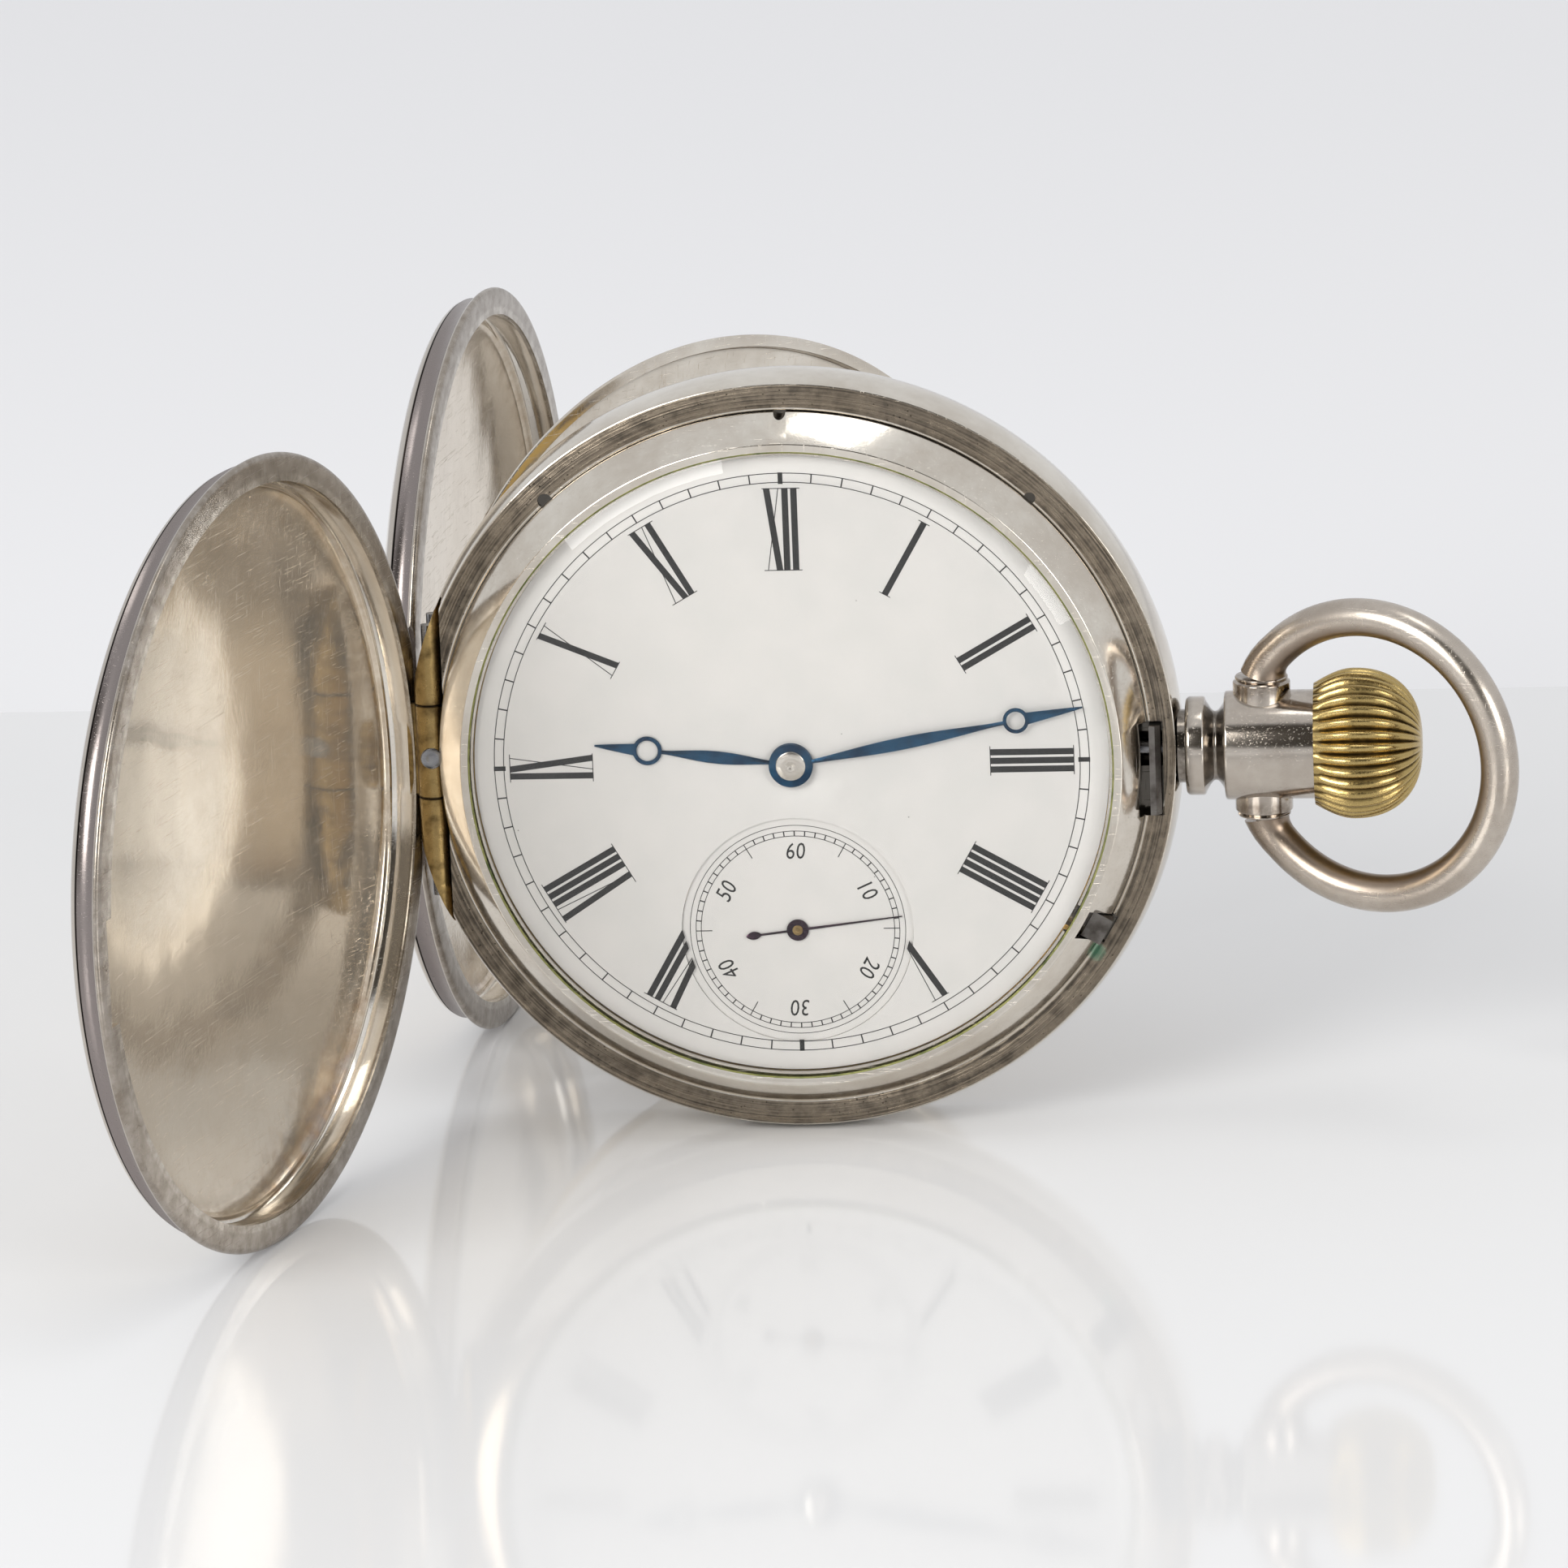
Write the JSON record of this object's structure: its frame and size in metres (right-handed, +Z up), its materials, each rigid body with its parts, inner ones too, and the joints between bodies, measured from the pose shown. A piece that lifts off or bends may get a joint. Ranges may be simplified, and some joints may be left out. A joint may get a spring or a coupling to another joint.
{
  "type": "hunter-case pocket watch",
  "caption": "Silver hunter-case pocket watch standing open on its edge: hinged covers, enamel dial, blued hands, fluted crown, swinging bow and a stem-wound lever movement.",
  "frame": {"origin": "on the ground, straight below the centre of the dial and in the plane of the dial's face", "axes": "+Z up through twelve o'clock, +X from the dial's centre to the crown, -Y the way the dial faces"},
  "size_m": [0.0912, 0.1029, 0.0528],
  "materials": {
    "silver": "polished silver with tarnish",
    "gilt_brass": "gilt, frosted",
    "hinge_brass": "worn brass",
    "steel": "polished steel",
    "blued_steel": "blued and polished",
    "purple_steel": "tempered to purple",
    "enamel": "fired white enamel",
    "glass": "clear, polished",
    "ruby": "polished",
    "crown_gilt": "gilt, fluted"
  },
  "bodies": {
    "case": {"case_middle": "silver", "bezel": "silver", "glass": "glass", "dial": "enamel", "seconds_dial": "enamel", "front_hinge_knuckles": "hinge_brass", "back_hinge_knuckles": "hinge_brass", "front_hinge_pin": "steel", "back_hinge_pin": "steel", "lift_spring": "steel", "catch_spring": "steel", "case_screws": "blued_steel", "pendant": "silver", "main_plate": "gilt_brass", "pillars": "gilt_brass", "three_quarter_plate": "gilt_brass", "plate_screws": "blued_steel", "plate_jewels": "ruby", "balance_cock": "gilt_brass", "cock_screw": "blued_steel", "cock_jewel": "ruby", "pallet_bridge": "gilt_brass", "click_spring": "steel", "crown_wheel_screw": "blued_steel"},
    "front_cover": {"front_lid": "silver", "front_lid_knuckle": "hinge_brass"},
    "back_cover": {"back_lid": "silver", "back_lid_knuckle": "hinge_brass"},
    "dust_cover": {"cuvette": "silver", "cuvette_knuckle": "hinge_brass"},
    "bow": {"bow": "silver"},
    "crown_slide": {"push_sleeve": "steel"},
    "crown": {"crown": "crown_gilt", "stem": "steel", "winding_pinion": "steel"},
    "lid_catch": {"lid_catch": "steel"},
    "setting_pin": {"setting_pin": "steel"},
    "regulator": {"regulator": "steel"},
    "barrel": {"barrel_drum": "gilt_brass"},
    "barrel_arbor": {"barrel_arbor": "steel", "mainspring": "steel", "ratchet_wheel": "steel", "ratchet_screw": "blued_steel"},
    "crown_wheel": {"crown_wheel": "steel"},
    "click": {"click": "steel"},
    "centre_wheel": {"centre_wheel": "gilt_brass", "cannon_pinion": "steel", "minute_hand": "blued_steel"},
    "minute_wheel": {"minute_wheel": "gilt_brass"},
    "hour_wheel": {"hour_wheel": "gilt_brass", "hour_hand": "blued_steel"},
    "third_wheel": {"third_wheel": "gilt_brass"},
    "fourth_wheel": {"fourth_wheel": "gilt_brass", "seconds_hand": "purple_steel"},
    "escape_wheel": {"escape_wheel": "gilt_brass"},
    "pallets": {"pallet_fork": "steel"},
    "balance": {"balance_wheel": "gilt_brass", "balance_staff": "steel", "hairspring": "blued_steel"}
  },
  "joints": [
    {"name": "front_cover_hinge", "type": "hinge", "parent": "case", "child": "front_cover", "pos_m": [-0.02475, 0.0027, 0.0264], "axis": [0, 0, 1], "range_deg": [-4, 106]},
    {"name": "back_cover_hinge", "type": "hinge", "parent": "case", "child": "back_cover", "pos_m": [-0.02475, 0.0059, 0.0264], "axis": [0, 0, 1], "range_deg": [-84, 6]},
    {"name": "dust_cover_hinge", "type": "hinge", "parent": "case", "child": "dust_cover", "pos_m": [-0.02475, 0.0059, 0.0264], "axis": [0, 0, 1], "range_deg": [-40, 4]},
    {"name": "bow_swing", "type": "hinge", "parent": "case", "child": "bow", "pos_m": [0.0318, 0.0032, 0.0264], "axis": [0, 0, 1], "range_deg": [-65, 115]},
    {"name": "crown_push", "type": "slide", "parent": "case", "child": "crown_slide", "axis": [-1, 0, 0], "range_m": [0, 0.0005], "stiffness_N_per_m": 1000},
    {"name": "crown_turn", "type": "hinge", "parent": "crown_slide", "child": "crown", "pos_m": [0.038, 0.0032, 0.0264], "axis": [1, 0, 0], "continuous": true},
    {"name": "catch_slide", "type": "slide", "parent": "case", "child": "lid_catch", "axis": [-1, 0, 0], "range_m": [0, 0.0005]},
    {"name": "setting_push", "type": "slide", "parent": "case", "child": "setting_pin", "axis": [-0.8634, 0, 0.5045], "range_m": [0, 0.0008], "stiffness_N_per_m": 400},
    {"name": "regulator_turn", "type": "hinge", "parent": "case", "child": "regulator", "pos_m": [-0.0113, 0.0072, 0.0182], "axis": [0, -1, 0], "range_deg": [-12, 12]},
    {"name": "barrel_turn", "type": "hinge", "parent": "case", "child": "barrel", "pos_m": [-0.003, 0.0042, 0.036], "axis": [0, -1, 0], "continuous": true},
    {"name": "arbor_turn", "type": "hinge", "parent": "case", "child": "barrel_arbor", "pos_m": [-0.003, 0.0064, 0.036], "axis": [0, -1, 0], "continuous": true},
    {"name": "crown_wheel_turn", "type": "hinge", "parent": "case", "child": "crown_wheel", "pos_m": [0.0063, 0.0064, 0.03], "axis": [0, -1, 0], "continuous": true},
    {"name": "click_lift", "type": "hinge", "parent": "case", "child": "click", "pos_m": [0.0032, 0.0066, 0.04], "axis": [0, -1, 0], "range_deg": [0, 12], "stiffness_Nm_per_rad": 0.000002},
    {"name": "centre_turn", "type": "hinge", "parent": "case", "child": "centre_wheel", "pos_m": [0, 0.003, 0.0264], "axis": [0, -1, 0], "continuous": true},
    {"name": "minute_wheel_turn", "type": "hinge", "parent": "case", "child": "minute_wheel", "pos_m": [-0.0032, 0.0014, 0.0283], "axis": [0, -1, 0], "continuous": true},
    {"name": "hour_turn", "type": "hinge", "parent": "case", "child": "hour_wheel", "pos_m": [0, 0.001, 0.0264], "axis": [0, -1, 0], "continuous": true},
    {"name": "third_turn", "type": "hinge", "parent": "case", "child": "third_wheel", "pos_m": [0.00345, 0.0045, 0.01985], "axis": [0, -1, 0], "continuous": true},
    {"name": "fourth_turn", "type": "hinge", "parent": "case", "child": "fourth_wheel", "pos_m": [0, 0.0032, 0.0147], "axis": [0, -1, 0], "continuous": true},
    {"name": "escape_turn", "type": "hinge", "parent": "case", "child": "escape_wheel", "pos_m": [-0.00475, 0.004, 0.0132], "axis": [0, -1, 0], "continuous": true},
    {"name": "pallet_rock", "type": "hinge", "parent": "case", "child": "pallets", "pos_m": [-0.00763, 0.0046, 0.0154], "axis": [0, -1, 0], "range_deg": [-5, 5]},
    {"name": "balance_swing", "type": "hinge", "parent": "case", "child": "balance", "pos_m": [-0.0113, 0.0056, 0.0182], "axis": [0, -1, 0], "range_deg": [-220, 220], "stiffness_Nm_per_rad": 0.0000016}
  ],
  "couplings": [
    {"joint": "dust_cover_hinge", "follows": "back_cover_hinge", "ratio": 0.47619},
    {"joint": "catch_slide", "follows": "crown_push", "ratio": 1},
    {"joint": "crown_wheel_turn", "follows": "crown_turn", "ratio": 0.60606},
    {"joint": "arbor_turn", "follows": "crown_turn", "ratio": -0.45454},
    {"joint": "barrel_turn", "follows": "centre_turn", "ratio": -0.125},
    {"joint": "minute_wheel_turn", "follows": "centre_turn", "ratio": -0.33333},
    {"joint": "hour_turn", "follows": "centre_turn", "ratio": 0.083333},
    {"joint": "third_turn", "follows": "centre_turn", "ratio": -8},
    {"joint": "fourth_turn", "follows": "centre_turn", "ratio": 60},
    {"joint": "escape_turn", "follows": "centre_turn", "ratio": -600}
  ]
}
